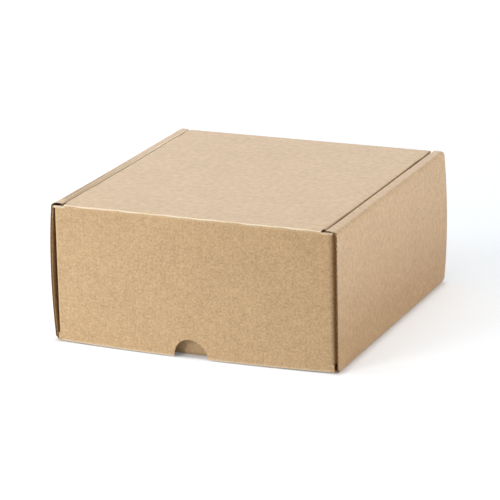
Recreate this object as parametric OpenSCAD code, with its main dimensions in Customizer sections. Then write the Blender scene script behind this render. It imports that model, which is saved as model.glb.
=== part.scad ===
// Mailer box folded from one die-cut sheet of corrugated board.
// The front of the box looks along -Y and it stands on Z = 0, centred on the origin.
// Flutes run front to back in the bottom, lid and side walls, and upright in the front and back.

/* [Box] */
// Width between the outer faces of the side walls, at their folds
box_w = 200; // [150:1:320]
// Depth from the front flap's crease to the back wall
box_d = 205; // [150:1:320]
// Height of the closed box
box_h = 94; // [70:1:160]

/* [Board] */
// Thickness of the corrugated board
board_t = 1.5; // [1.2:0.1:1.8]
// Distance from one flute to the next
flute_pitch = 3.2; // [2.4:0.1:4]
// Board left on either side of the flutes' mouths
liner_t = 0.35; // [0.25:0.05:0.5]
// Board left between two mouths, measured along the raw edge
flute_web = 0.4; // [0.25:0.05:0.6]
// Depth of the mouths in the raw edges
mouth_depth = 3; // [1:0.5:4]

/* [Folds] */
// Inner radius of the wide folds, along the floor and the outer edge of each rolled wall
wide_fold = 1; // [0.5:0.1:2]
// Inner radius of the tight folds, at the tabs, the inner panels and the lid
tight_fold = 0.3; // [0.2:0.1:0.8]
// Inner radius of the folds between the front flap and its ears
ear_fold = 1.2; // [0.6:0.1:1.6]
// Rounding of the outer corner along the front flap's crease
crease_r = 0.8; // [0.3:0.1:1.2]

/* [Clearances] */
// Gap between an ear and the outer side panel
ear_gap = 1; // [0.3:0.05:1.5]
// Gap between an ear and the corner tabs behind it
slot_play = 0.35; // [0.3:0.05:0.8]
// Gap between layers of board that lie against each other
layer_gap = 0.3; // [0.2:0.05:0.6]
// Gap between the lid and the rolled walls
lid_gap = 0.6; // [0.4:0.1:2]
// Gap between the front flap and the front wall behind it
front_gap = 1.5; // [1:0.1:3]
// Height of the front flap's lower edge above the ground
floor_gap = 0.8; // [0.4:0.1:2]
// Gap between the two halves of the front flap's crease
crease_gap = 0.06; // [0.04:0.01:0.2]
// Gap that an ear keeps above the bottom as the front flap swings
swing_gap = 2; // [1:0.5:5]

/* [Bowing] */
// How far each outer side panel bows out at half height
side_bow = 1.9; // [0.6:0.1:4]
// How far the front flap bows out at the middle of its lower edge
flap_bow = 4.5; // [1:0.1:8]

/* [Front flap] */
// Length of the ears, from the front flap's outer face
ear_l = 42; // [36:1:60]
// Depth of an ear's upper edge below the top of the box
ear_top = 2.5; // [2.5:0.5:16]
// Radius of an ear's upper corner
ear_top_r = 8; // [3:1:12]
// Radius of an ear's lower corner
ear_low_r = 24; // [14:1:28]
// How far the flap's top edge lies below the top of the box beside its crease
shoulder_drop = 1.2; // [0.6:0.1:2]
// Radius of the thumb notch
notch_r = 12; // [8:0.5:14]
// Height of the thumb notch
notch_h = 12.5; // [12:0.5:20]

/* [Rolled walls] */
// How far the rolled top lies behind the front flap's outer face
roll_set = 2.5; // [2:0.5:12]
// Angle through its outer fold at which the rolled top steps back
roll_turn = 40; // [20:5:45]
// Cut corner of an outer side panel, above its lower front end
corner_cut = 1.2; // [0.5:0.1:3]
// Length of the tabs that turn in behind the side walls, from the wall that they fold off
corner_tab_l = 38; // [25:1:48]
// How much a corner tab narrows above and below towards its free end
corner_tab_taper = 6; // [2:1:10]
// Width of the lock tabs under the inner side panels
lock_tab_w = 26; // [15:1:36]
// Distance between the two lock tabs on each side
lock_tab_pitch = 90; // [50:1:100]

/* [Lid] */
// Depth of the dust flaps that hang from the lid's sides
dust_flap_h = 45; // [25:1:60]
// How much a dust flap narrows towards its free edge, at each end
dust_flap_taper = 8; // [3:1:16]
// Radius of the dust flaps' free corners
dust_flap_r = 8; // [3:1:12]

/* [Hidden] */
$fn = 48;

// Columns of the bowed front flap
flap_columns = 32;
// Facets of a bowed side panel, from fold to fold
side_facets = 16;
// Segments of a rounded corner
corner_steps = 10;
// How far a cutter reaches past what it cuts
past = 3;

// Outer radii of the folds
wide_r = wide_fold + board_t;
tight_r = tight_fold + board_t;
ear_r = ear_fold + board_t;

// Faces of the side wall's layers, from the outside in: outer panel, ear, corner tab, inner panel
wall_x = box_w / 2;
ear_x = wall_x - board_t - ear_gap;
tab_x = ear_x - board_t - slot_play;
roll_x = tab_x - 2 * board_t - layer_gap;
// Half widths of the lid over its side folds, and of its creases at the front and back
lid_x = roll_x - lid_gap;
crease_x = lid_x - tight_r;

// The bow of the flap beside the notch takes part in the depth, and the box is centred with it
flap_fold_x = ear_x - ear_r;
bow_reach = flap_bow * (1 - pow(notch_r / flap_fold_x, 2));
front_y = round((bow_reach - box_d) * 10) / 20;
back_y = front_y + box_d;
front_wall_y = front_y + board_t + front_gap;
inner_front_y = front_wall_y + board_t + layer_gap;
inner_back_y = back_y - board_t - layer_gap;

// Top of the front wall, the shoulders of the back wall and the corner tabs
wall_top = box_h - tight_r - layer_gap;

// An ear's lower corner turns about a centre that swings clear of the bottom
ear_centre_y = ear_l - ear_low_r;
ear_swing_r = box_h - board_t - swing_gap - ear_low_r;
ear_centre_z = ceil(10 * (box_h - sqrt(pow(ear_swing_r, 2) - pow(ear_centre_y, 2)))) / 10;
ear_low_z = ear_centre_z - ear_low_r;
ear_top_z = box_h - ear_top;

board_outside = "#c9a679";
board_front = "#cdaa7a";

function corner(centre, r, from, to) =
    [for (i = [0:corner_steps])
        let (a = from + (to - from) * i / corner_steps)
        centre + r * [cos(a), sin(a)]];

// Extrudes an outline drawn in X and Z from one Y to another
module along_y(y0, y1) {
    translate([0, y1, 0]) rotate([90, 0, 0]) linear_extrude(y1 - y0) children();
}

// Extrudes an outline drawn in Y and Z from one X to another
module along_x(x0, x1) {
    translate([x0, 0, 0]) rotate([90, 0, 90]) linear_extrude(x1 - x0) children();
}

// A quarter turn of the board about its fold, in the first quadrant
module fold(r) {
    intersection() {
        difference() {
            circle(r);
            circle(r - board_t);
        }
        square(2 * r);
    }
}

// What a rounding of radius r takes off an outer corner at the origin, with the board below and
// to the right of it
module corner_loss(r) {
    difference() {
        translate([-past, -r]) square([r + past, r + past]);
        translate([r, -r]) circle(r);
    }
}

// Mouths of the flutes in a raw edge, along X, with the board's outer face at Y = 0 and the board
// towards +Y. The edge bows out between its ends as a parabola, and no mouth lies nearer to X = 0
// than clear.
module flute_mouths(from, to, bow = 0, clear = -1) {
    half = flute_pitch / 2;
    foot = half - flute_web;
    for (i = [ceil((from + foot) / half) : floor((to - foot) / half)])
        let (
            u = i * half,
            face = -bow * (1 - pow((2 * u - from - to) / (to - from), 2)),
            wide_end = i % 2 == 0 ? liner_t : board_t - liner_t
        )
            if (abs(u) > clear)
                translate([u, face])
                    polygon([[-foot, wide_end], [foot, wide_end], [0, board_t - wide_end]]);
}

// Section of an outer side panel, which bows out between its two folds as a parabola
module bowed_section() {
    function bowed(u, x) = [x + side_bow * (1 - pow(2 * u - 1, 2)), wide_r + u * (box_h - 2 * wide_r)];
    polygon([
        for (i = [0:side_facets]) bowed(i / side_facets, wall_x),
        for (i = [side_facets:-1:0]) bowed(i / side_facets, wall_x - board_t)
    ]);
}

// The bottom, with two slots for the lock tabs along each side
module bottom() {
    y0 = front_wall_y + wide_r;
    y1 = back_y - wide_r;
    difference() {
        translate([wide_r - wall_x, y0, 0]) cube([box_w - 2 * wide_r, y1 - y0, board_t]);
        for (side = [-1, 1], end = [-1, 1])
            translate([side * (roll_x + board_t / 2), end * lock_tab_pitch / 2, 0])
                cube([board_t + 2 * layer_gap, lock_tab_w + 2 * layer_gap, 3 * board_t], center = true);
    }
}

// Flute mouths of an outer side panel and of a rolled top, from one Y to another
module panel_mouths(y0, y1) {
    along_y(y0, y1) translate([wall_x, 0]) rotate(90)
        flute_mouths(wide_r, box_h - wide_r, side_bow);
}

module roll_mouths(y0, y1) {
    along_y(y0, y1) translate([0, box_h]) mirror([0, 1])
        flute_mouths(roll_x + tight_r, wall_x - wide_r);
}

// One rolled side wall: up the outside, over the top and down the inside to its lock tabs
module rolled_wall() {
    strip = wall_x - wide_r - roll_x - tight_r;
    // Fold between the bottom and the outer panel
    along_y(front_wall_y, back_y - board_t)
        translate([wall_x - wide_r, wide_r]) rotate(-90) fold(wide_r);
    // Outer panel, cut away at the lower front corner where the blank was slit
    difference() {
        along_y(front_y, back_y) bowed_section();
        along_x(wall_x - past, wall_x + past)
            translate([front_y, wide_r]) rotate(45) square(sqrt(2) * corner_cut, center = true);
        panel_mouths(front_y - past, front_y + mouth_depth);
        panel_mouths(back_y - mouth_depth, back_y + past);
    }
    // First part of the outer fold, which goes on to the front like the panel below it
    along_y(front_y, front_y + roll_set) translate([wall_x - wide_r, box_h - wide_r])
        intersection() {
            fold(wide_r);
            rotate(roll_turn) translate([0, -2 * wide_r]) square(2 * wide_r);
        }
    // Rolled top with its two folds
    difference() {
        along_y(front_y + roll_set, back_y) {
            translate([wall_x - wide_r, box_h - wide_r]) fold(wide_r);
            translate([roll_x + tight_r, box_h - board_t]) square([strip, board_t]);
            translate([roll_x + tight_r, box_h - tight_r]) rotate(90) fold(tight_r);
        }
        roll_mouths(front_y + roll_set - past, front_y + roll_set + mouth_depth);
        roll_mouths(back_y - mouth_depth, back_y + past);
    }
    // Inner panel
    translate([roll_x, inner_front_y, board_t + layer_gap])
        cube([board_t, inner_back_y - inner_front_y, box_h - tight_r - board_t - layer_gap]);
    // Lock tabs, which end inside the thickness of the bottom
    for (end = [-1, 1])
        translate([roll_x, end * lock_tab_pitch / 2 - lock_tab_w / 2, layer_gap])
            cube([board_t, lock_tab_w, 2 * board_t]);
}

// An upright wall across the box with its lower fold and the corner tabs that turn in behind the
// side walls. Its outer face lies at Y = 0 and the inside of the box towards +Y.
module cross_wall() {
    half = tab_x - tight_r;
    low = wide_r + layer_gap;
    // Panel
    translate([-half, 0, wide_r]) cube([2 * half, board_t, wall_top - wide_r]);
    // Fold up from the bottom
    along_x(-half, half) translate([wide_r, wide_r]) rotate(180) fold(wide_r);
    for (side = [0, 1]) mirror([side, 0, 0]) {
        // Corner
        translate([half, tight_r, low]) linear_extrude(wall_top - low) rotate(-90) fold(tight_r);
        // Tab
        along_x(tab_x - board_t, tab_x)
            polygon([
                [tight_r, low],
                [corner_tab_l, low + corner_tab_taper],
                [corner_tab_l, wall_top - corner_tab_taper],
                [tight_r, wall_top]
            ]);
    }
}

module front_wall() {
    translate([0, front_wall_y, 0]) cross_wall();
}

// The back wall runs up between the rolled walls to the lid's fold
module back_wall() {
    translate([0, back_y, 0]) mirror([0, 1, 0]) cross_wall();
    translate([-crease_x, back_y - board_t, wide_r])
        cube([2 * crease_x, board_t, box_h - tight_r - wide_r]);
}

// The lid, cut on a slant along the front flap's crease, with a dust flap down each side
module lid() {
    dust_y0 = inner_front_y + layer_gap;
    dust_y1 = back_y - tight_r - board_t;
    dust_z0 = box_h - dust_flap_h;
    difference() {
        along_x(-crease_x, crease_x) {
            // Panel
            polygon([
                [front_y, box_h],
                [front_y + board_t, box_h - board_t],
                [back_y - tight_r, box_h - board_t],
                [back_y - tight_r, box_h]
            ]);
            // Fold at the back wall
            translate([back_y - tight_r, box_h - tight_r]) fold(tight_r);
        }
        along_x(-wall_x, wall_x) translate([front_y, box_h]) corner_loss(crease_r);
    }
    for (side = [0, 1]) mirror([side, 0, 0]) {
        // Fold at the lid's side
        along_y(dust_y0, dust_y1) translate([crease_x, box_h - tight_r]) fold(tight_r);
        // Dust flap
        along_x(lid_x - board_t, lid_x)
            polygon(concat(
                [[dust_y0, box_h - tight_r]],
                corner([dust_y0 + dust_flap_taper + dust_flap_r, dust_z0 + dust_flap_r],
                    dust_flap_r, 180, 270),
                corner([dust_y1 - dust_flap_taper - dust_flap_r, dust_z0 + dust_flap_r],
                    dust_flap_r, 270, 360),
                [[dust_y1, box_h - tight_r]]
            ));
    }
}

module folded_box() {
    color(board_outside) {
        bottom();
        for (side = [0, 1]) mirror([side, 0, 0]) rolled_wall();
        front_wall();
        back_wall();
        lid();
    }
}

// The front flap's panel: a sheet that is straight along its crease and bows out towards its
// lower edge, as a ruled surface between the two
module bowed_panel() {
    column = [for (i = [0:flap_columns]) flap_fold_x * (2 * i / flap_columns - 1)];
    function bow(x) = flap_bow * (1 - pow(x / flap_fold_x, 2));
    points = [for (x = column) each [
        [x, front_y, box_h],
        [x, front_y + board_t, box_h],
        [x, front_y + board_t - bow(x), floor_gap],
        [x, front_y - bow(x), floor_gap]
    ]];
    last = 4 * flap_columns;
    faces = concat(
        [[3, 2, 1, 0], [last, last + 1, last + 2, last + 3]],
        [for (i = [0:flap_columns - 1], k = [0:3])
            let (a = 4 * i + k, b = 4 * i + (k + 1) % 4)
            each [[a, b, a + 4], [b, b + 4, a + 4]]]
    );
    polyhedron(points, faces);
}

// One ear, with the fold that joins it to the flap and the flap's edge above and below it
module ear() {
    translate([flap_fold_x, front_y + ear_r, ear_low_z])
        linear_extrude(ear_top_z - ear_low_z) rotate(-90) fold(ear_r);
    along_x(ear_x - board_t, ear_x)
        translate([front_y, 0])
            polygon(concat(
                [[ear_r, ear_top_z]],
                corner([ear_l - ear_top_r, ear_top_z - ear_top_r], ear_top_r, 90, 0),
                corner([ear_centre_y, ear_centre_z], ear_low_r, 0, -90),
                [[ear_r, ear_low_z]]
            ));
    translate([flap_fold_x, front_y, floor_gap]) cube([ear_r, board_t, ear_low_z - floor_gap]);
    translate([flap_fold_x, front_y, ear_top_z])
        cube([ear_r, board_t, box_h - shoulder_drop - ear_top_z]);
}

// The thumb notch, an arch cut into the flap's lower edge
module thumb_notch() {
    translate([0, front_y + board_t + past, 0]) rotate([90, 0, 0])
        linear_extrude(flap_bow + board_t + 2 * past) {
            translate([0, floor_gap + notch_h - notch_r]) circle(notch_r);
            translate([-notch_r, floor_gap - past]) square([2 * notch_r, past + notch_h - notch_r]);
        }
}

module front_flap() {
    slant = sqrt(2) * crease_gap;
    color(board_front) difference() {
        union() {
            bowed_panel();
            for (side = [0, 1]) mirror([side, 0, 0]) ear();
        }
        // Slanted half of the crease, along the lid
        along_x(-crease_x - layer_gap, crease_x + layer_gap) translate([front_y, box_h])
            polygon([[-past, past - slant], [past, -past - slant], [past, past], [-past, past]]);
        along_x(-wall_x, wall_x) translate([front_y, box_h]) corner_loss(crease_r);
        // Shoulders beside the crease
        for (side = [0, 1]) mirror([side, 0, 0])
            translate([crease_x + layer_gap, front_y - past, box_h - shoulder_drop])
                cube([box_w, 2 * past + board_t, past]);
        thumb_notch();
        translate([0, front_y, floor_gap - past]) linear_extrude(past + mouth_depth)
            flute_mouths(-flap_fold_x, flap_fold_x, flap_bow, notch_r + flute_pitch / 2);
    }
}

folded_box();
front_flap();
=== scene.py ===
"""Dresses the mailer box: every sheet of board gets its two liners and the fluted medium between them.

All lengths are metres in the part's own frame: the front looks along -Y and the box stands on Z = 0.
A sheet is measured in its own two directions, s across the flutes and v along them, with depth
counted from the face that ends up outside the box.
"""
import math

import bpy
import numpy as np
from mathutils import Matrix, Vector

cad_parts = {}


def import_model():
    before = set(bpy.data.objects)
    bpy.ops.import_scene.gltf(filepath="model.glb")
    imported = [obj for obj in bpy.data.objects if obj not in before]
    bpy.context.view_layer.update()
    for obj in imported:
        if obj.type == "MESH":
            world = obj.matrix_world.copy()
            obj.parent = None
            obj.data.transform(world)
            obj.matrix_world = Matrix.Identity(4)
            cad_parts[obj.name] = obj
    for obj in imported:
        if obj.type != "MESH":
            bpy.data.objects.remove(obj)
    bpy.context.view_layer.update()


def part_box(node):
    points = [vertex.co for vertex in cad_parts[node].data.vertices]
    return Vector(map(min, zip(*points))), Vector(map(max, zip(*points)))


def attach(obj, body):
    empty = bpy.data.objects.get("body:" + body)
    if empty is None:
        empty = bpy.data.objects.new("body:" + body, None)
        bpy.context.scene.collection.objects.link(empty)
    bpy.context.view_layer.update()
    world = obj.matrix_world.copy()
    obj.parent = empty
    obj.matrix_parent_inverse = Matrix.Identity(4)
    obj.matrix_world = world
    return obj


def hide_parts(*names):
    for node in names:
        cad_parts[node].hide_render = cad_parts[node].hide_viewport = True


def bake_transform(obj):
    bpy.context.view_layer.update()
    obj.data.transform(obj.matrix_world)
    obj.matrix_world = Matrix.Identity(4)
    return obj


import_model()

MM = 0.001
X, Y, Z = np.eye(3)

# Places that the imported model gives
BOX_LOW, BOX_HIGH = (np.array(corner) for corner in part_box("folded_box"))
FLAP_LOW, FLAP_HIGH = (np.array(corner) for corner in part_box("front_flap"))
TOP = BOX_HIGH[2]
FRONT = BOX_LOW[1]
BACK = BOX_HIGH[1]
EAR_X = FLAP_HIGH[0]
FLAP_FOOT = FLAP_LOW[2]
EAR_END = FLAP_HIGH[1]

# Board: total thickness, its layers and its flutes, and the columns of its grids, whose places are rounded
# so that two that are the same become one
BOARD = 1.5 * MM
LINER = 0.25 * MM
MEDIUM = 0.22 * MM
PITCH = 3.2 * MM
COLUMN = PITCH / 8
COLUMN_DIGITS = 8

# The flutes' washboard in the liners, how much it changes along the sheet, and how far on the inner liner
# reads that change, so that it differs from the outer one
WASHBOARD = 0.022 * MM
RIPPLE = 0.5
RIPPLE_WAVES = 3.7 * MM, 8.9 * MM, 1.3, 0.4
INNER_READS_ON = 1.0

# Folds: outer radii. The corner folds are crushed, so their board is thinner by a share that fades out.
WIDE_R = 2.5 * MM
TIGHT_R = 1.8 * MM
CORNER_R = 1.0 * MM
EAR_R = 2.7 * MM
CREASE_R = 1.0 * MM
CRUSH = 0.42
CRUSH_REACH = 1.8 * MM
SHARP_ANGLE = math.radians(38)

# Clearances between the layers of the side walls, the lid and the front wall
EAR_GAP = 1.0 * MM
SLOT_PLAY = 0.35 * MM
LAYER_GAP = 0.3 * MM
LID_GAP = 0.6 * MM
FRONT_GAP = 1.5 * MM

# The hair's breadth in which an outline changes from one value to the next, and what counts as past a depth
STEP = 0.04 * MM
PAST = 1e-9

# Side walls, from the outside in
WALL_X = EAR_X + EAR_GAP + BOARD
TAB_X = EAR_X - BOARD - SLOT_PLAY
TAB_SHIFT = 0.2 * MM
ROLL_X = TAB_X - 2 * BOARD - LAYER_GAP
LID_X = ROLL_X - LID_GAP
CREASE_X = LID_X - TIGHT_R
FLAP_FOLD_X = EAR_X - EAR_R
SIDE_BOW = BOX_HIGH[0] - WALL_X
ROLL_FRONT = FRONT + 1.7 * MM
FOLD_FRONT = FRONT + 1.6 * MM
ROLL_TURN = math.radians(40)
CORNER_CUT = 1.2 * MM
TORN_BACK = 6 * MM
SHORT_LINER = 2 * MM

# Front and back walls
FRONT_WALL = FRONT + BOARD + FRONT_GAP
INNER_FRONT = FRONT_WALL + BOARD + LAYER_GAP
INNER_BACK = BACK - BOARD - LAYER_GAP
WALL_TOP = TOP - TIGHT_R - LAYER_GAP
CORNER_TAB = 38 * MM
CORNER_TAPER = 6 * MM
LOCK_TAB_Y = 45 * MM
LOCK_TAB_W = 26 * MM

# Front flap, its ears and its thumb notch
NOTCH_R = 12 * MM
NOTCH_LEAN = 0.12
FLAP_BOW = (FRONT - FLAP_LOW[1]) / (1 - (NOTCH_R / FLAP_FOLD_X) ** 2)
SHOULDER = TOP - 1.2 * MM
EAR_TOP = TOP - 2.5 * MM
EAR_TOP_R = 8 * MM
EAR_LOW_R = 24 * MM
EAR_LOW = 6 * MM

# Lid and its dust flaps
DUST_DROP = 45 * MM
DUST_TAPER = 8 * MM
DUST_R = 8 * MM
DUST_FRONT = INNER_FRONT + LAYER_GAP
DUST_BACK = BACK - TIGHT_R - BOARD
CREASE_REACH = 2.2 * MM
LID_SEAM = BACK - TIGHT_R - 1 * MM


def ramp(value, start, end):
    """0 up to start, 1 from end on and straight between them. End may also lie below start."""
    return np.clip((value - start) / (end - start), 0, 1)


def beat(place, first, second, first_phase=0, second_phase=0):
    """Two waves multiplied, which looks like chance: each is the sine of the place over a length, plus a
    phase."""
    return np.sin(place / first + first_phase) * np.sin(place / second + second_phase)


def quarter_rise(into, radius):
    """How far a quarter circle has left its straight edge, where into runs from 0 to 1 along that edge."""
    return radius * (1 - np.sqrt(1 - into**2))


def quarter_knots(count):
    """Places from 0 to 1 that divide a quarter circle evenly: sines of even steps up to a right angle."""
    return np.sin(np.linspace(0, np.pi / 2, count))


def line(length):
    """A straight stretch of a path: its length and no turn."""
    return length, 0.0


def arc(radius, turn):
    """A bend of a path: the length on its outer side, which is radius times turn, and the turn in
    radians."""
    return radius * turn, turn


class Path:
    """A path in a plane, followed by its length s, which is 0 where the path passes the plane's origin.

    Between two knots the heading changes evenly, so a stretch is straight or an arc. The place at s is
    the last knot's place plus a chord: its length is the length walked times sin(b / 2) / (b / 2), where
    b is the bend since that knot, and it points along the mean of the two headings.
    """

    def __init__(self, stretches, start=None):
        """Stretches run outwards from the middle to both sides alike, or onwards from start where it is
        given."""
        length, turn = np.array(stretches, float).T
        knot = np.concatenate([[0], np.cumsum(length)])
        heading = np.concatenate([[0], np.cumsum(turn)])
        if start is None:
            knot = np.concatenate([-knot[:0:-1], knot])
            heading = np.concatenate([-heading[:0:-1], heading])
        else:
            knot = knot + start
        self.knot, self.heading = knot, heading
        self.bend = np.diff(heading) / np.diff(knot)
        chords = self._chord(np.diff(knot), np.arange(len(knot) - 1))
        self.places = np.concatenate([[[0, 0]], np.cumsum(chords, 0)])
        self.places = self.places - np.stack(self.at(np.zeros(1))[:2], -1)

    def _chord(self, walked, k):
        bend = self.bend[k] * walked
        chord = walked * np.sinc(bend / (2 * np.pi))
        mean = self.heading[k] + bend / 2
        return np.stack([chord * np.cos(mean), chord * np.sin(mean)], -1)

    def at(self, s):
        """Place along and across the first heading, and the heading, at each s."""
        k = np.clip(np.searchsorted(self.knot, s, side="right") - 1, 0, len(self.bend) - 1)
        place = self.places[k] + self._chord(s - self.knot[k], k)
        return place[..., 0], place[..., 1], self.heading[k] + self.bend[k] * (s - self.knot[k])


# A straight path that is longer than any side of the box
STRAIGHT = Path([line(1.0)])


class Sheet:
    """Board that follows a path across its flutes and is carried along a second path.

    With p and q the first path's place, h its heading, and a depth d: the point lies p - d sin h across
    and q + d cos h inward, and that inward distance is laid off square to the second path at v. A form
    then moves the points from there.
    """

    def __init__(self, origin, axes, across, along=STRAIGHT, form=None, crushed=None):
        """crushed gives the length s at which the folds on both sides are crushed."""
        self.origin, self.axes = np.array(origin), axes
        self.across = across
        self.crushed = crushed
        self.along = along
        self.form = form
        self.flip = np.dot(np.cross(axes[0], axes[1]), axes[2]) < 0

    def points(self, s, v, depth):
        p, q, heading = self.across.at(s)
        if self.crushed:
            near = np.clip(1 - ((np.abs(s) - self.crushed) / CRUSH_REACH) ** 2, 0, 1)
            depth = depth * (1 - CRUSH * near)
        p = p - depth * np.sin(heading)
        q = q + depth * np.cos(heading)
        r, t, slope = self.along.at(v)
        r = r - q * np.sin(slope)
        t = t + q * np.cos(slope)
        parts = zip(self.axes, (p, t, r))
        place = self.origin + sum(part[..., None] * axis for axis, part in parts)
        return self.form(place) if self.form else place


def ripple(s):
    """Slow change of the washboard from flute to flute: 1 plus a share of two waves multiplied."""
    return 1 + RIPPLE * beat(s, *RIPPLE_WAVES)


def layer_depths(s):
    """Depths of the six faces of the board's layers at s.

    The medium is a cosine wave between the liners. The outer liner sinks a little between the wave's
    crests and the inner liner between its troughs, which gives the washboard.
    """
    wave = np.cos(2 * np.pi * s / PITCH)
    middle = BOARD / 2 - (BOARD / 2 - LINER - MEDIUM / 2) * wave
    outer = WASHBOARD * ripple(s) * (1 - wave) / 2
    inner = BOARD - WASHBOARD * ripple(s + INNER_READS_ON) * (1 + wave) / 2
    return ((outer, np.full_like(s, LINER)), (middle - MEDIUM / 2, middle + MEDIUM / 2),
            (np.full_like(s, BOARD - LINER), inner))


# The materials' places on every piece
KRAFT, CUT, FLUTING = range(3)


class Piece:
    """Gathers closed slabs of paper and makes one object of them."""

    def __init__(self, name):
        self.name = name
        self.parts = []

    def slab(self, sheet, s, low, high, depths, rows, finish, wear_and_painted_light=None):
        """Adds one layer of paper between two depths, as a grid of rows along the flutes and columns at
        s.

        Each column runs from low to high, so the outline is cut by those two. The outer grid, the inner
        grid turned round and a rim of quads between their edges close the layer.
        """
        t = (1 - np.cos(np.linspace(0, np.pi, rows))) / 2
        faces = []
        for depth, a, b in zip(depths, low, high):
            v = a + (b - a) * t[:, None]
            faces.append(sheet.points(np.broadcast_to(s, v.shape), v, np.broadcast_to(depth, v.shape)))
            measure = np.stack([np.broadcast_to(s, v.shape), v], -1)
        count = rows * len(s)
        grid = np.arange(count).reshape(rows, len(s))
        outer = np.stack([grid[:-1, :-1], grid[:-1, 1:], grid[1:, 1:], grid[1:, :-1]], -1).reshape(-1, 4)
        ring = np.concatenate([grid[0, :-1], grid[:-1, -1], grid[-1, :0:-1], grid[:0:-1, 0]])
        ahead = np.roll(ring, -1)
        rim = np.stack([ring, ring + count, ahead + count, ahead], -1)
        quads = np.concatenate([outer, outer[:, ::-1] + count, rim])
        if sheet.flip:
            quads = quads[:, ::-1]
        finishes = np.concatenate([np.full(2 * len(outer), finish), np.full(len(rim), CUT)])
        wear_and_light_marks = np.zeros(v.shape) if wear_and_painted_light is None else wear_and_painted_light(*np.moveaxis(measure, -1, 0))
        self.parts.append((np.concatenate([f.reshape(-1, 3) for f in faces]), quads, finishes,
                           np.tile(measure.reshape(-1, 2), (2, 1)), np.tile(wear_and_light_marks.ravel(), 2)))

    def board(self, sheet, start, end, low, high, rows=5, medium_rows=2, knots=(), wear_and_painted_light=None):
        """Adds the three layers of a stretch of board from s = start to end.

        low and high give the ends of the flutes for s and a depth. Columns stand at even parts of a
        flute, at the bends of the path and at the given knots. Two rows do for the medium where flutes
        are straight.
        """
        first, last = math.ceil(start / COLUMN), math.floor(end / COLUMN)
        bends = np.concatenate([arc_columns(sheet.across), np.asarray(knots, float)])
        s = np.concatenate([np.arange(first, last + 1) * COLUMN, bends, [start, end]])
        s = np.unique(np.round(s[(s >= start) & (s <= end)], COLUMN_DIGITS))
        for finish, depths in zip((KRAFT, FLUTING, KRAFT), layer_depths(s)):
            ends = [[np.broadcast_to(f(s, d), s.shape) for d in depths] for f in (low, high)]
            self.slab(sheet, s, *ends, depths, medium_rows if finish == FLUTING else rows, finish, wear_and_painted_light)

    def make(self, body, node, papers=None):
        """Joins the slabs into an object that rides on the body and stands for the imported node."""
        points, quads, finishes, measure, wear_and_light_marks = zip(*self.parts)
        shift = np.concatenate([[0], np.cumsum([len(p) for p in points])])
        quads = np.concatenate([q + n for q, n in zip(quads, shift)])
        mesh = bpy.data.meshes.new(self.name)
        mesh.from_pydata(np.concatenate(points), [], quads)
        mesh.polygons.foreach_set("material_index", np.concatenate(finishes).astype(np.int32))
        mesh.polygons.foreach_set("use_smooth", np.ones(len(quads), bool))
        mesh.set_sharp_from_angle(angle=SHARP_ANGLE)
        layer = mesh.uv_layers.new(name="Sheet")
        layer.data.foreach_set("uv", np.concatenate(measure)[quads.ravel()].ravel().astype(np.float32))
        # This attribute holds wear and painted light: above zero pale, for wear and painted highlights, below
        # zero painted shade.
        wear_and_painted_light = mesh.attributes.new("wear_and_painted_light", "FLOAT", "POINT")
        wear_and_painted_light.data.foreach_set("value", np.concatenate(wear_and_light_marks).astype(np.float32))
        for material in papers or PLAIN_BOARD:
            mesh.materials.append(material)
        mesh.update()
        piece = bpy.data.objects.new(self.name, mesh)
        bpy.context.collection.objects.link(piece)
        if body:
            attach(piece, body)
        if node:
            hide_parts(node)
        return piece


def arc_columns(path, step=math.radians(7.5)):
    """Values of s that divide every bend of a path into equal parts of at most step radians."""
    columns = [path.knot]
    for a, b, bend in zip(path.knot[:-1], path.knot[1:], path.bend):
        parts = math.ceil(abs(bend * (b - a)) / step)
        if parts > 1:
            columns.append(np.linspace(a, b, parts + 1))
    return np.concatenate(columns)


def steps(*pairs):
    """A limit for every depth, by the distance of s from the middle: straight from each (place, value)
    to the next.

    Two places a hair's breadth apart make a step.
    """
    place, value = np.array(pairs, float).T
    return lambda s, depth: np.interp(np.abs(s), place, value)


# The shader tools

class Value:
    """A shader socket. Arithmetic on it adds Math nodes."""

    def __init__(self, shader, socket):
        self.shader, self.socket = shader, socket

    def math(self, operation, *others):
        values = dict(enumerate((self,) + others))
        return self.shader.node("Math", {"operation": operation}, values)

    def __add__(self, other):
        return self.math("ADD", other)

    def __sub__(self, other):
        return self.math("SUBTRACT", other)

    def __rsub__(self, other):
        return (self * -1).math("ADD", other)

    def __mul__(self, other):
        return self.math("MULTIPLY", other)

    __radd__ = __add__
    __rmul__ = __mul__


class Shader:
    """The nodes of one material, or of the world."""

    def __init__(self, owner):
        owner.use_nodes = True
        self.tree = owner.node_tree
        self.tree.nodes.clear()

    def node(self, kind, settings=None, sockets=None, out=0):
        """Adds a node, sets its settings and then its sockets' values or links, and gives one output."""
        node = self.tree.nodes.new("ShaderNode" + kind)
        for key, value in (settings or {}).items():
            setattr(node, key, value)
        for key, value in (sockets or {}).items():
            if isinstance(value, Value):
                self.tree.links.new(value.socket, node.inputs[key])
            else:
                node.inputs[key].default_value = value
        return Value(self, node.outputs[out]) if len(node.outputs) else node

    def noise(self, vector, cells, roughness, detail=2.0):
        """Noise between about 0 and 1 on a vector, with so many cells per metre in each of its
        directions."""
        stretched = self.node("VectorMath", {"operation": "MULTIPLY"}, {0: vector, 1: cells})
        sockets = {"Vector": stretched, "Scale": 1.0, "Detail": detail, "Roughness": roughness}
        return self.node("TexNoise", {}, sockets)

    def mix(self, factor, a, b, blend="MIX"):
        """Colour a where the factor is 0, and b, or a blended with b, where it is 1."""
        settings = {"data_type": "RGBA", "clamp_factor": True, "blend_type": blend}
        return self.node("Mix", settings, {0: factor, 6: a, 7: b}, out=2)

    def seen_plainly(self):
        """1 for rays from the camera and those that a mirror or glass passes on, 0 for light on its way
        to things."""
        kinds = ("Is Camera Ray", "Is Glossy Ray", "Is Transmission Ray")
        seen, mirrored, through = (self.node("LightPath", out=kind) for kind in kinds)
        return (seen + mirrored + through).math("MINIMUM", 1)
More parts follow.
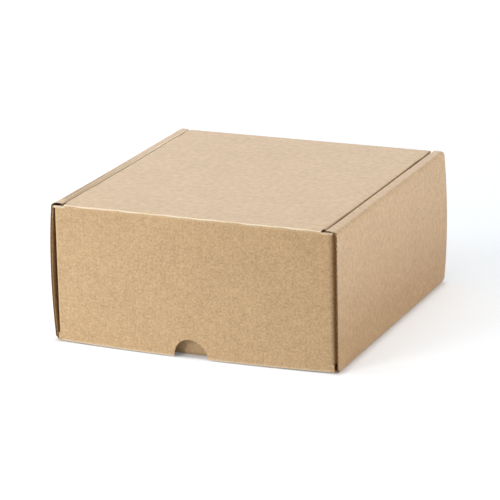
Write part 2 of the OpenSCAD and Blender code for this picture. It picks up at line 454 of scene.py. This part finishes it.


# Colours of the paper, linear. The two spots are what its dark and pale places multiply them by, cream is
# where the liner is rubbed pale and where light is painted on, and the painted shade brown multiplies it where
# shade is painted.
KRAFT_COLOUR = (0.59, 0.40, 0.213)
# The walls' colour is the kraft made a little paler and less saturated: painted sheen, for the neutral
# reflection on the side walls.
SHEENED_WALL_COLOUR = (0.60, 0.41, 0.230)
FLUTING_COLOUR = (0.40, 0.265, 0.15)
DARK_SPOT = (0.80, 0.77, 0.73)
PALE_SPOT = (1.20, 1.22, 1.25)
CREAM = (0.93, 0.80, 0.60, 1)
PAINTED_SHADE_BROWN = (0.74, 0.66, 0.53, 1)

# Noise in the paper: cells per metre across and along the flutes, and roughness. Clouds lie in the box's
# own space.
CLOUDS = 40, 40, 40
CLOUD_ROUGHNESS = 0.5
BLOTCHES = 230, 330, 0.55
MOTTLE = 600, 1000, 0.6
FIBRES = 1500, 4400, 0.65

# Shares in the tone, in the height, in the roughness and in how far the wear and the painted highlights show
CLOUD_TONE, BLOTCH_TONE, MOTTLE_TONE, FIBRE_TONE, FLUTE_TONE = 0.4, 1.2, 1.6, 1.2, 0.02
BLOTCH_HEIGHT, MOTTLE_HEIGHT, FIBRE_HEIGHT = 0.3, 0.4, 0.3
ROUGHNESS, FIBRE_ROUGHNESS = 0.39, 0.14
WEAR_AND_HIGHLIGHT, FIBRE_WEAR_AND_HIGHLIGHT = 0.7, 0.5
BUMP_HEIGHT, BUMP_STRENGTH = 0.05 * MM, 0.6


def spotted(colour, spot):
    """A colour multiplied by a spot's three factors, with an alpha of 1."""
    return tuple(c * k for c, k in zip(colour, spot)) + (1.0,)


def paper(name, colour, coarse=1.0, fine=1.0, along=1.0, grain=1.0):
    """Brown paper, whose tone is a sum of slow clouds, blotches, a finer mottle, short fibres and a
    trace of flutes.

    Fibres lie across the flutes, or along them where along is small. Coarse scales the blotches' share
    and fine the mottle's and the fibres'. Grain above 1 makes the mottle finer. The wear_and_painted_light
    attribute turns the paper pale above zero, for wear and painted highlights, and browner below, which is
    painted shade. Blotches, mottle and fibres raise a fine bump.
    """
    material = bpy.data.materials.new(name)
    shader = Shader(material)
    sheet = shader.node("UVMap", {"uv_map": "Sheet"})
    place = shader.node("TexCoord", out="Object")
    wear_and_painted_light = shader.node("Attribute", {"attribute_name": "wear_and_painted_light"}, out="Fac")
    clouds = shader.noise(place, CLOUDS, CLOUD_ROUGHNESS)
    blotches, mottle, fibres = (
        shader.noise(sheet, (across * finer, flutewise * along * finer, 1), roughness)
        for (across, flutewise, roughness), finer in ((BLOTCHES, 1), (MOTTLE, grain), (FIBRES, 1))
    )
    flutes = (shader.node("SeparateXYZ", {}, {0: sheet}) * (2 * math.pi / PITCH)).math("COSINE")
    spots = (blotches - 0.5) * (BLOTCH_TONE * coarse) + (mottle - 0.5) * (MOTTLE_TONE * fine)
    spots = spots + (fibres - 0.5) * (FIBRE_TONE * fine)
    tone = 0.5 + (clouds - 0.5) * CLOUD_TONE + spots + flutes * FLUTE_TONE
    base = shader.mix(tone, spotted(colour, DARK_SPOT), spotted(colour, PALE_SPOT))
    base = shader.mix(wear_and_painted_light * (WEAR_AND_HIGHLIGHT + fibres * FIBRE_WEAR_AND_HIGHLIGHT), base, CREAM)
    # Painted shade: where the attribute is below zero the colour is multiplied browner.
    base = shader.mix(wear_and_painted_light * -1, base, PAINTED_SHADE_BROWN, "MULTIPLY")
    height = fibres * FIBRE_HEIGHT + mottle * MOTTLE_HEIGHT + blotches * BLOTCH_HEIGHT
    bump = shader.node("Bump", {}, {"Height": height, "Distance": BUMP_HEIGHT, "Strength": BUMP_STRENGTH})
    surface = shader.node("BsdfPrincipled", {}, {
        "Base Color": base, "Roughness": ROUGHNESS + fibres * FIBRE_ROUGHNESS, "IOR": 1.5, "Normal": bump,
    })
    shader.node("OutputMaterial", {}, {"Surface": surface})
    return material


# A board's three papers: its liners, its cut edges and its medium
CUT_EDGES = paper("cut_liner_edge", KRAFT_COLOUR, coarse=0.6, fine=0.6)
MEDIUM_PAPER = paper("fluting_medium", FLUTING_COLOUR, coarse=0.8, fine=0.8)
PLAIN_BOARD, WALL_BOARD, LID_BOARD, FRONT_BOARD = ((liner, CUT_EDGES, MEDIUM_PAPER) for liner in (
    paper("kraft_liner", KRAFT_COLOUR),
    # The walls' liner carries that painted sheen in its colour.
    paper("wall_liner_painted_sheen", SHEENED_WALL_COLOUR, coarse=1.2, fine=1.1),
    paper("lid_liner", KRAFT_COLOUR, fine=0.4, along=0.7),
    paper("front_liner", KRAFT_COLOUR, coarse=0.75, fine=1.5, along=0.6, grain=1.15),
))


# The side walls and the bottom, one sheet from inner panel to inner panel

LEAN = 2 * math.atan(2 * SIDE_BOW / (TOP - 2 * WIDE_R))
FOLD_TURN = math.pi / 2 - LEAN
PANEL_CHORD = TOP - 2 * WIDE_R * (1 - math.sin(LEAN))
WALL_PATH = Path([
    line(WALL_X - WIDE_R),
    arc(WIDE_R, FOLD_TURN),
    arc(PANEL_CHORD / (2 * math.sin(LEAN)), 2 * LEAN),
    arc(WIDE_R, FOLD_TURN),
    line(WALL_X - WIDE_R - ROLL_X - CORNER_R),
    arc(CORNER_R, math.pi / 2),
    line(TOP - CORNER_R - LAYER_GAP),
])

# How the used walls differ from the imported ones. Each fade is the length in which what comes on top falls
# to 1 / e.
REACH, REACH_AT_END, REACH_FADE = 0.5 * MM, 0.6 * MM, 4 * MM
SAG, SAG_AT_BACK = 1.4 * MM, 0.3
LEAN_IN, LEAN_AT_TOP, LEAN_FADE = 0.25 * MM, 0.43 * MM, 5 * MM
LEAN_FROM_X = ROLL_X + 2 * MM
PUSH_UP, PUSH_FADE = 0.9 * MM, 6 * MM
WALL_BLEND = 3 * MM

# Painted shade and light on the walls: browner towards the foot, which is painted shade, and darker along the
# left front edge, from one distance behind the front to the next; and paler on the left roll's fold, from
# before its turn to past it, which is painted light in the shaded gap beside the lid
FOOT_SHADE, FOOT_CURVE = 1.35, 1.5
EDGE_BROWN = 3.5 * MM, 2.0 * MM
ROLL_LIGHT, ROLL_LIGHT_BACK, ROLL_LIGHT_CHANCE = 0.2, 0.6, 0.2
ROLL_LIGHT_WAVES = 5 * MM, 13 * MM
ROLL_LIGHT_REACH = (BACK - FRONT) / 2.2
ROLL_LIGHT_EDGE = -0.3 * MM, 0.2 * MM


def side_form(place):
    """The right wall bows out less towards the front: the bow is taken back by a share that falls from
    all of it at the front to none at the back, and that is greatest at half height. Its roll reaches a
    little further in, most at its front end, and sags to the outside, by a parabola across it and more
    towards the front. The left wall leans in a little at its front, most at its top, and the front end
    of its roll is pushed up."""
    x, y, z = np.moveaxis(place, -1, 0)
    towards_front = ramp(y, BACK, FRONT)
    height = ramp(z, WIDE_R, TOP - WIDE_R)
    on_top = ramp(z, TOP - 3 * BOARD, TOP - 2 * BOARD)
    right_panel = x > WALL_X - BOARD - STEP
    right_roll = ramp(x, WALL_X - WIDE_R, WALL_X - WIDE_R - WALL_BLEND) * on_top * (x > ROLL_X - STEP)
    left_wall = ramp(-x, LEAN_FROM_X, LEAN_FROM_X + WALL_BLEND)
    back_in = SIDE_BOW * towards_front * 4 * height * (1 - height) * right_panel
    reach = (REACH + REACH_AT_END * np.exp((ROLL_FRONT - y) / REACH_FADE)) * right_roll
    sag = SAG * ramp(x, ROLL_X, WALL_X) ** 2 * (SAG_AT_BACK + (1 - SAG_AT_BACK) * towards_front) * on_top
    lean_in = (LEAN_IN + LEAN_AT_TOP * np.exp((z - TOP) / LEAN_FADE)) * towards_front * left_wall
    push_up = PUSH_UP * np.exp((FRONT - y) / PUSH_FADE) * on_top * (x < 0)
    return place + (lean_in - back_in - reach)[..., None] * X + (push_up - sag)[..., None] * Z


def rolled_walls():
    """Bottom with its slots, outer panels, rolled tops, inner panels and lock tabs."""
    piece = Piece("rolled_walls_sheet")
    floor_end, panel, roll, _, turn, inner, tip = WALL_PATH.knot[WALL_PATH.knot > 0]
    sheet = Sheet((0, 0, 0), (X, Z, Y), WALL_PATH, form=side_form, crushed=(turn + inner) / 2)
    inner_end = tip - BOARD
    step_back = roll + WIDE_R * (ROLL_TURN - LEAN)
    slot_in = ROLL_X - LAYER_GAP
    slot_out = ROLL_X + BOARD + LAYER_GAP
    low = steps(
        (floor_end, FRONT_WALL + WIDE_R), (floor_end + STEP, FOLD_FRONT),
        (panel, FOLD_FRONT), (panel + STEP, FRONT + CORNER_CUT), (panel + CORNER_CUT, FRONT),
        (step_back, FRONT), (step_back + STEP, ROLL_FRONT),
        (inner, ROLL_FRONT), (inner + STEP, INNER_FRONT),
    )
    high = steps(
        (floor_end, BACK - WIDE_R), (floor_end + STEP, BACK - BOARD),
        (panel, BACK - BOARD), (panel + STEP, BACK),
        (inner, BACK), (inner + STEP, INNER_BACK),
    )
    knots = np.array([
        floor_end + STEP, panel + STEP, panel + CORNER_CUT,
        step_back, step_back + STEP, turn - STEP, inner + STEP,
    ])

    def torn(s, depth):
        """At the left roll's end the medium and the inner liner are torn back behind the outer liner,
        and at the right panel's front edge the inner liner is a little short."""
        on_roll = (-s > step_back) & (-s < turn) & (depth > LINER + PAST)
        on_panel = (s > panel) & (s < step_back) & (depth > BOARD - LINER - PAST)
        return low(s, depth) + TORN_BACK * on_roll + SHORT_LINER * on_panel

    def wear_and_painted_light(s, v):
        """Painted shade: the outer panels are a little browner towards their lower folds. The left one is also
        darker at its front edge. Painted light: the left roll's fold is paler, by two waves multiplied, and
        less so near the front."""
        foot = FOOT_SHADE * ramp(np.abs(s), roll, panel) ** FOOT_CURVE
        edge = ramp(v - FRONT, *EDGE_BROWN) * (s < 0) * (np.abs(s) < step_back)
        brown = np.maximum(foot, edge) * ramp(np.abs(s), floor_end, panel)
        pale = ROLL_LIGHT + ROLL_LIGHT_BACK * ramp(v, FRONT, FRONT + ROLL_LIGHT_REACH)
        pale = pale + ROLL_LIGHT_CHANCE * beat(v, *ROLL_LIGHT_WAVES)
        return pale * ramp(-s - turn, *ROLL_LIGHT_EDGE) - brown

    piece.board(sheet, -slot_in, slot_in, low, high)
    half_slot = LOCK_TAB_W / 2 + LAYER_GAP
    for side in (-1, 1):
        bar = sorted((side * slot_in, side * slot_out))
        wall = sorted((side * slot_out, side * inner_end))
        piece.board(sheet, *wall, torn, high, rows=7, knots=side * knots, wear_and_painted_light=wear_and_painted_light)
        piece.board(sheet, *bar, low, steps((0, -LOCK_TAB_Y - half_slot)), rows=2)
        piece.board(sheet, *bar, steps((0, half_slot - LOCK_TAB_Y)), steps((0, LOCK_TAB_Y - half_slot)), rows=2)
        piece.board(sheet, *bar, steps((0, LOCK_TAB_Y + half_slot)), high, rows=2)
        tab = sorted((side * inner_end, side * tip))
        for middle in (-LOCK_TAB_Y, LOCK_TAB_Y):
            ends = (steps((0, middle + end * LOCK_TAB_W / 2)) for end in (-1, 1))
            piece.board(sheet, *tab, *ends, rows=2)
    return piece.make("box", "folded_box", WALL_BOARD)


# The front and back walls with their corner tabs

CROSS_PATH = Path([
    line(TAB_X - TAB_SHIFT - TIGHT_R),
    arc(TIGHT_R, math.pi / 2),
    line(CORNER_TAB - TIGHT_R),
])


def cross_wall(name, y, inward):
    """An upright wall across the box: its panel, the corner tabs at its ends and the fold up from the
    bottom."""
    piece = Piece(name)
    panel = Sheet((0, y, 0), (X, inward * Y, Z), CROSS_PATH)
    half, tab, end = CROSS_PATH.knot[CROSS_PATH.knot > 0]
    foot = WIDE_R + LAYER_GAP
    low = steps((half, WIDE_R), (half + STEP, foot), (tab, foot), (end, foot + CORNER_TAPER))
    high = steps((tab, WALL_TOP), (end, WALL_TOP - CORNER_TAPER))
    piece.board(panel, -end, end, low, high, knots=(-half - STEP, half + STEP))
    fold_path = Path([arc(WIDE_R, math.pi / 2)], start=0)
    fold = Sheet((0, y + inward * WIDE_R, 0), (X, Z, -inward * Y), STRAIGHT, fold_path)
    piece.board(fold, -half, half, steps((0, 0)), steps((0, fold_path.knot[-1])), rows=13, medium_rows=13)
    return piece.make("box", "folded_box")


# The lid with its dust flaps and the fold at its back

LID_PATH = Path([
    line(CREASE_X + TIGHT_R - CORNER_R),
    arc(CORNER_R, math.pi / 2),
    line(DUST_DROP - CORNER_R),
])

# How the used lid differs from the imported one: it lies to the left and is narrower, it is dished, its side
# folds rise and fall, and its right front corner droops. Reaches are the lengths in which a change falls to
# 1 / e, and the folds' fall is all there a twentieth of the way in from the lid's ends.
LID_SHIFT, LID_TRIM = 0.72 * MM, 0.33 * MM
DISH, DISH_CHANCE = 0.45 * MM, 0.6
DISH_WAVE_X, DISH_WAVE_Y, DISH_PHASE = 31 * MM, 47 * MM, 1.1
FALL, FALL_MEAN, FALL_REACH, FALL_ENDS = 0.22 * MM, 1.5, 7 * MM, 30
FALL_WAVE, FALL_PHASE = 4.3 * MM, 0.6
SLOW_FALL, SLOW_FALL_WAVE, SLOW_FALL_PHASE = 0.5, 7.9 * MM, 2.0
FALL_DEPTHS = -12 * MM, -2 * MM
DROOP, DROOP_X, DROOP_Y = 0.7 * MM, 1.6 * MM, 25 * MM

# The painted shade on the right fold: where it begins past the turn, how fast it comes, and what both gain
# near the front
FOLD_SHADE_FROM, FOLD_SHADE_WIDTH = 0.2 * MM, 0.6 * MM
FOLD_SHADE_EARLIER, FOLD_SHADE_WIDER = 1.8 * MM, 1.5 * MM

MITRE_GAP = 0.3 * MM


def crease_cut(depth):
    """How far from the crease a layer ends: the outer liner where the crease's own strip begins, the layers
    below it on the slant of a mitre, with the board crushed beside the crease."""
    inner = np.maximum(depth, CREASE_R - LINER) + MITRE_GAP
    return np.where(depth <= LINER + PAST, CREASE_REACH, inner)


def lid_left(x):
    """How far the lid lies to the left of the box's middle. It is also a little narrower, so its right
    gap is the wider one."""
    return LID_SHIFT + LID_TRIM * x / CREASE_X


def lid_form(place):
    """The lid sags between its creases: a shallow dish that is flat at the folds, with one slow wave in
    it. Its side folds rise and fall along the box by two waves, which fade within a few millimetres
    across and down, and the right one droops towards the front corner."""
    x, y, z = np.moveaxis(place, -1, 0)
    u = np.clip(1 - (x / CREASE_X) ** 2, 0, 1) ** 2
    w = np.clip((y - FRONT) * (LID_SEAM - y) / ((LID_SEAM - FRONT) / 2) ** 2, 0, 1) ** 2
    slow = np.sin(x / DISH_WAVE_X + y / DISH_WAVE_Y + DISH_PHASE)
    dish = DISH * u * w * (1 + DISH_CHANCE * slow) * (z > TOP - 2 * BOARD)
    side = np.exp((np.abs(x) - LID_X) / FALL_REACH) * np.clip(w * FALL_ENDS, 0, 1)
    wave = np.sin(y / FALL_WAVE + FALL_PHASE) + SLOW_FALL * np.sin(y / SLOW_FALL_WAVE + SLOW_FALL_PHASE)
    droop = DROOP * np.exp((x - LID_X) / DROOP_X - (y - FRONT) / DROOP_Y)
    fall = (FALL * side * (FALL_MEAN + wave) + droop) * ramp(z - TOP, *FALL_DEPTHS)
    return place - (dish + fall)[..., None] * Z - lid_left(x)[..., None] * X


def lid():
    """Panel from the crease to the back fold, with the dust flaps that hang down inside the rolled
    walls."""
    piece = Piece("lid_sheet")
    turn, flap, end = LID_PATH.knot[LID_PATH.knot > 0]
    panel = Sheet((0, 0, TOP), (X, -Z, Y), LID_PATH, form=lid_form, crushed=(turn + flap) / 2)
    side = CREASE_X
    straight = end - flap - DUST_R

    def dust_inset(s):
        """How far a dust flap has narrowed at s: a slant, and then a quarter circle to its free edge."""
        down = np.abs(s) - flap
        into = ramp(down, straight, straight + DUST_R)
        return DUST_TAPER * ramp(down, 0, straight) + quarter_rise(into, DUST_R)

    def low(s, depth):
        over = ramp(np.abs(s), side, side + STEP)
        return (FRONT + crease_cut(depth)) * (1 - over) + (DUST_FRONT + dust_inset(s)) * over

    def high(s, depth):
        over = ramp(np.abs(s), side, side + STEP)
        return LID_SEAM * (1 - over) + (DUST_BACK - dust_inset(s)) * over

    def wear_and_painted_light(s, v):
        """Painted shade: the right side's fold is browner, from where it begins to turn down, and more
        widely near the front."""
        near = np.exp((FRONT - v) / DROOP_Y)
        start = turn + FOLD_SHADE_FROM - FOLD_SHADE_EARLIER * near
        return -ramp(s, start, start + FOLD_SHADE_WIDTH + FOLD_SHADE_WIDER * near)

    knots = np.concatenate([[side, side + STEP], flap + straight + DUST_R * quarter_knots(9)])
    knots = np.concatenate([-knots, knots])
    piece.board(panel, -end, end, low, high, rows=13, medium_rows=13, knots=knots, wear_and_painted_light=wear_and_painted_light)
    over_back = Path([line(BACK - TIGHT_R - LID_SEAM), arc(TIGHT_R, math.pi / 2), line(LAYER_GAP)], start=0)
    back_fold = Sheet((0, LID_SEAM, TOP), (X, -Z, Y), STRAIGHT, over_back)
    piece.board(back_fold, -side, side, steps((0, 0)), steps((0, over_back.knot[-1])), rows=13, medium_rows=13)
    return piece.make("box", "folded_box", LID_BOARD)


# The front flap with its ears

FLAP_PATH = Path([
    line(FLAP_FOLD_X),
    arc(EAR_R, math.pi / 2),
    line(EAR_END - FRONT - EAR_R),
])

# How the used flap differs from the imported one: it lies to the left and is narrower, from a share of the
# trim at its foot to all of it at its top. Below the crease it no longer follows the lid, and past their
# folds the ears spring back.
FLAP_SHIFT, FLAP_TRIM, TRIM_AT_FOOT = 0.3 * MM, 0.6 * MM, 0.4
FOLLOWS_LID = 4 * MM
EAR_SPRING = 2.2 * MM

# Pale lines down the ears' folds, left and right: how far round the fold, and how strong. They are partly
# wear and partly painted highlight, so the left one, on the lit side, is the stronger. Their width and their
# strength vary along them.
LINE_ROUND = 0.68, 0.55
LINE_PALE = 0.95, 0.15
LINE_WIDTH, LINE_WIDTH_CHANCE, LINE_WIDTH_WAVES = 0.5 * MM, 0.15 * MM, (4.1 * MM, 11 * MM, 0, 1)
LINE_MEAN, LINE_CHANCE, LINE_WAVE, LINE_PHASE = 0.8, 0.2, 7.3 * MM, 0.5

# Pale edges, by the heights between which they begin, and the painted shade on the panel and on the ears'
# hidden parts
SHOULDER_PALE = -1.1 * MM, -0.6 * MM
FOOT_PALE, FOOT_PALE_HEIGHTS = 0.5, (1.2 * MM, 0.4 * MM)
PANEL_SHADE, PANEL_SHADE_MEAN = 0.5, 0.6
HIDDEN_SHADE, HIDDEN_FROM = 1.5, 0.8


def flap_form(place):
    """The flap bows out: by a parabola across its width, which grows evenly from the crease to the lower
    edge. Like the lid it is a little narrow and lies a little to the left, and from that its ears spring
    back out to their places within a few millimetres of their folds."""
    x, y, z = np.moveaxis(place, -1, 0)
    bow = FLAP_BOW * np.clip(1 - (x / FLAP_FOLD_X) ** 2, 0, 1) * ramp(z, TOP, FLAP_FOOT)
    bow = bow * ramp(y, FRONT + 3 * BOARD, FRONT + 2 * BOARD)
    below = ramp(z, TOP, TOP - FOLLOWS_LID)
    panel = ramp(y, FRONT + EAR_R + EAR_SPRING, FRONT + EAR_R)
    narrow = FLAP_TRIM * (x / EAR_X + 1) / 2 * (TRIM_AT_FOOT + (1 - TRIM_AT_FOOT) * z / TOP)
    left = (1 - below) * lid_left(x) + below * panel * (FLAP_SHIFT + narrow)
    return place - bow[..., None] * Y - left[..., None] * X


def front_flap():
    """Panel with the thumb notch, the folds at its ends and the ears behind the side walls."""
    piece = Piece("flap_sheet")
    panel = Sheet((0, FRONT, 0), (X, Y, Z), FLAP_PATH, form=flap_form)
    fold, ear, end = FLAP_PATH.knot[FLAP_PATH.knot > 0]

    def notch(s):
        """Height of the lower edge: a circle's arch that leans to the left over the notch's width, and
        straight beside it."""
        t = s / NOTCH_R
        arch = FLAP_FOOT + NOTCH_R * np.sqrt(np.clip(1 - (t + NOTCH_LEAN * (1 - t**2)) ** 2, 0, None))
        return np.where(np.abs(s) < NOTCH_R + STEP / 2, arch, FLAP_FOOT)

    def ear_round(s, radius):
        """How far an ear's corner has left its straight edge: by a quarter circle that ends at the free
        end."""
        return quarter_rise(ramp(np.abs(s), end - radius, end), radius)

    def low(s, depth):
        over = ramp(np.abs(s), fold, fold + STEP)
        return notch(s) * (1 - over) + (EAR_LOW + ear_round(s, EAR_LOW_R)) * over

    def high(s, depth):
        shoulder = ramp(np.abs(s), CREASE_X, CREASE_X + STEP)
        over = ramp(np.abs(s), fold, fold + STEP)
        top = (TOP - crease_cut(depth)) * (1 - shoulder) + SHOULDER * shoulder
        return top * (1 - over) + (EAR_TOP - ear_round(s, EAR_TOP_R)) * over

    def wear_and_painted_light(s, v):
        """Pale along the shoulders' edges, where the liner is worn, and, less so, along the lower edge. A
        thin pale line runs down each ear's fold, stronger on the left: partly wear, partly painted highlight.
        Painted shade: the panel is a little browner towards the crease and the right, and the ears turn
        browner from late in their folds onwards."""
        distance = np.abs(s)
        line_s = fold + np.where(s < 0, *LINE_ROUND) * (ear - fold)
        width = LINE_WIDTH + LINE_WIDTH_CHANCE * beat(v, *LINE_WIDTH_WAVES)
        strength = np.where(s < 0, *LINE_PALE) * (LINE_MEAN + LINE_CHANCE * np.sin(v / LINE_WAVE + LINE_PHASE))
        folds = strength * np.exp(-((distance - line_s) / width) ** 2)
        edges = ramp(v - SHOULDER, *SHOULDER_PALE) * (distance > CREASE_X)
        edges = edges + FOOT_PALE * ramp(v - FLAP_FOOT, *FOOT_PALE_HEIGHTS)
        to_right = PANEL_SHADE_MEAN + (1 - PANEL_SHADE_MEAN) * np.clip(s / fold, -1, 1)
        brown = PANEL_SHADE * np.clip(v / TOP, 0, 1) * to_right
        hidden = HIDDEN_SHADE * np.clip((distance - fold) / (ear - fold) - HIDDEN_FROM, 0, 1)
        return np.maximum(folds, edges) - brown - hidden

    quarter = quarter_knots(17)
    knots = np.concatenate([
        [fold + STEP, CREASE_X, CREASE_X + STEP, NOTCH_R + STEP], NOTCH_R * quarter,
        end - EAR_LOW_R * (1 - quarter), end - EAR_TOP_R * (1 - quarter),
    ])
    piece.board(panel, -end, end, low, high, rows=25, knots=np.concatenate([-knots, knots]), wear_and_painted_light=wear_and_painted_light)
    flat = Sheet((0, FRONT, 0), (X, Y, Z), STRAIGHT, form=flap_form)
    for side in (-1, 1):
        edge = sorted((side * fold, side * (EAR_X - STEP)))
        piece.board(flat, *edge, steps((0, FLAP_FOOT)), steps((0, EAR_LOW - STEP)), rows=2)
        piece.board(flat, *edge, steps((0, EAR_TOP + STEP)), steps((0, SHOULDER)), rows=9, wear_and_painted_light=wear_and_painted_light)
    return piece.make("front_flap", "front_flap", FRONT_BOARD)


# The strip of liner over the crease: how its line wavers, by chance and with the flutes, and its pale wear,
# whose bell and whose centre vary along it
WAVER, WAVER_WAVES, FLUTE_WAVER = 0.10 * MM, (5.1 * MM, 13 * MM, 0, 1), 0.05 * MM
CREASE_PALE = 1.5
BELL, BELL_CHANCE, BELL_WAVES = 0.38 * MM, 0.14 * MM, (6.3 * MM, 17 * MM)
CENTRE_CHANCE, CENTRE_WAVES = 0.22 * MM, (9.1 * MM, 3.7 * MM, 0.7, 0)
END_PALE_REACH = 1.0 * MM


def crease_form(place):
    """The strip follows the flap's bow, and its line wavers a little with the flutes and along the box."""
    x, y, z = np.moveaxis(place, -1, 0)
    waver = WAVER * beat(x, *WAVER_WAVES) + FLUTE_WAVER * np.cos(2 * np.pi * x / PITCH)
    near = ramp(y - FRONT + TOP - z, CREASE_REACH, 0)
    return flap_form(place) + (np.abs(waver) * near)[..., None] * (Y - Z)


def crease_strip():
    """The outer liner where it turns from the lid down into the flap."""
    piece = Piece("crease_liner")
    beside = line(CREASE_REACH - CREASE_R)
    turn = Path([beside, arc(CREASE_R, math.pi / 2), beside], start=0)
    strip = Sheet((0, FRONT + CREASE_REACH, TOP), (X, -Z, -Y), STRAIGHT, turn, form=crease_form)
    middle = turn.knot[-1] / 2

    def wear_and_painted_light(s, v):
        """Pale where the paper is stretched over the crease: a bell across it that widens, narrows and
        wanders along it, and a pale patch at each end."""
        width = BELL + BELL_CHANCE * beat(s, *BELL_WAVES)
        centre = middle + CENTRE_CHANCE * beat(s, *CENTRE_WAVES)
        ends = np.exp(-((CREASE_X - np.abs(s)) / END_PALE_REACH) ** 2 - ((v - middle) / END_PALE_REACH) ** 2)
        return np.maximum(CREASE_PALE * np.exp(-((v - centre) / width) ** 2), ends)

    s = np.linspace(-CREASE_X, CREASE_X, 2 * round(CREASE_X / COLUMN) + 1)
    outer = WASHBOARD * (1 - np.cos(2 * np.pi * s / PITCH)) / 2
    ends = [[np.full_like(s, v)] * 2 for v in (0, turn.knot[-1])]
    piece.slab(strip, s, *ends, (outer, np.full_like(s, LINER)), rows=17, finish=KRAFT, wear_and_painted_light=wear_and_painted_light)
    obj = piece.make(None, "front_flap")
    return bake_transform(obj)


rolled_walls()
cross_wall("front_wall_sheet", FRONT_WALL, 1)
cross_wall("back_wall_sheet", BACK, -1)
lid()
front_flap()
crease_strip()


# The floor, the light and the camera

# The floor's card is a little darker near the box than far from it. The distances are those from the box's
# middle between which it turns white, and from its side up to which less white is added, which paints a thin
# contact shadow.
FLOOR_R, FLOOR_SIDES = 6, 96
CARD_NEAR, CARD_FAR = (0.905, 0.92, 0.935, 1), (1, 1, 1, 1)
TURNS_WHITE = 0.3, 1.1
PAINTED_SHADOW_REACH = 5 * MM
GLOW_COLOUR = (0.95, 1, 1.05, 1)
GLOW_BESIDE, GLOW_CLEAR, GLOW_FAR = 0.12, 0.23, 0.2

# The world's light on things, and what makes it up to white where it is seen
WORLD_LIGHT = 0.2
WORLD_SEEN = 0.8

# The lamps: name, place, target, size and power
LAMPS = (
    ("key", (-0.6, -1.25, 0.6), (0, 0, 0.04), 0.5, 7.0),
    ("left fill", (-1.0, -0.4, 0.4), (0, 0, 0.04), 0.4, 6),
    ("right fill", (1.7, 0.1, 0.22), (0, 0, 0.06), 0.4, 12),
    ("overhead", (0.1, -0.1, 1.4), (0, 0, 0.04), 1.6, 8.5),
    ("back light", (-0.95, 2.3, 0.95), (0, 0, 0.09), 1.6, 10),
)


def floor():
    """A wide flat disc of pale card, which turns white away from the box. It is lit like the box and so
    holds its shadow, and a little plain white is added where the camera sees it, but less within a few
    millimetres of the box, which paints a thin contact shadow there."""
    turn = np.linspace(0, 2 * np.pi, FLOOR_SIDES, endpoint=False)
    rim = np.stack([np.cos(turn), np.sin(turn), 0 * turn], -1) * FLOOR_R
    mesh = bpy.data.meshes.new("floor")
    mesh.from_pydata(rim, [], [list(range(len(rim)))])
    ground = bpy.data.objects.new("floor", mesh)
    bpy.context.collection.objects.link(ground)
    material = bpy.data.materials.new("white_card")
    shader = Shader(material)
    place = shader.node("TexCoord", out="Object")
    away = shader.node("VectorMath", {"operation": "LENGTH"}, {0: place}, out=1)
    smooth = {"interpolation_type": "SMOOTHSTEP"}
    far = shader.node("MapRange", smooth, {"Value": away, 1: TURNS_WHITE[0], 2: TURNS_WHITE[1]})
    x, y = (shader.node("SeparateXYZ", {}, {0: place}, out=axis) for axis in (0, 1))
    beside = (x.math("ABSOLUTE") - WALL_X).math("MAXIMUM", y.math("ABSOLUTE") + FRONT)
    # Less glow within a few millimetres of the box: a painted contact shadow.
    clear = shader.node("MapRange", smooth, {"Value": beside, 1: 0.0, 2: PAINTED_SHADOW_REACH})
    card = shader.node("BsdfDiffuse", {}, {"Color": shader.mix(far, CARD_NEAR, CARD_FAR)})
    strength = shader.seen_plainly() * (GLOW_BESIDE + clear * GLOW_CLEAR + far * GLOW_FAR)
    glow = shader.node("Emission", {}, {"Color": GLOW_COLOUR, "Strength": strength})
    both = shader.node("AddShader", {}, {0: card, 1: glow})
    shader.node("OutputMaterial", {}, {"Surface": both})
    mesh.materials.append(material)


def world():
    """White for the camera and in reflections, and a soft even light for everything else."""
    bpy.context.scene.world = bpy.data.worlds.new("studio")
    shader = Shader(bpy.context.scene.world)
    strength = WORLD_LIGHT + shader.seen_plainly() * WORLD_SEEN
    light = shader.node("Background", {}, {"Color": (1, 1, 1, 1), "Strength": strength})
    shader.node("OutputWorld", {}, {"Surface": light})


def lamp(name, place, target, size, power):
    """A square soft lamp at a place, turned to a target."""
    data = bpy.data.lights.new(name, "AREA")
    data.shape = "SQUARE"
    data.size = size
    data.energy = power
    obj = bpy.data.objects.new(name, data)
    bpy.context.collection.objects.link(obj)
    obj.location = place
    obj.rotation_euler = (Vector(target) - Vector(place)).to_track_quat("-Z", "Y").to_euler()


def camera():
    """The photograph's view, fitted to the box's corners: place, heading, pitch, roll and focal length
    in pixels."""
    place = Vector((704.1, -1650.1, 594.6)) * MM
    heading, pitch, roll = (math.radians(a) for a in (-23.175, -17.080, -1.192))
    focal, width = 2785.2, 500
    ahead = Vector((math.sin(heading) * math.cos(pitch), math.cos(heading) * math.cos(pitch), math.sin(pitch)))
    right = Vector((math.cos(heading), -math.sin(heading), 0))
    up = right.cross(ahead)
    right, up = right * math.cos(roll) + up * math.sin(roll), up * math.cos(roll) - right * math.sin(roll)
    data = bpy.data.cameras.new("camera")
    data.sensor_width = 36
    data.lens = focal * data.sensor_width / width
    data.clip_end = 50
    obj = bpy.data.objects.new("camera", data)
    turn = Matrix((right, up, -ahead)).transposed()
    obj.matrix_world = Matrix.Translation(place) @ turn.to_4x4()
    bpy.context.collection.objects.link(obj)
    bpy.context.scene.camera = obj


floor()
world()
for each in LAMPS:
    lamp(*each)
camera()
bpy.context.scene.view_settings.view_transform = "Standard"
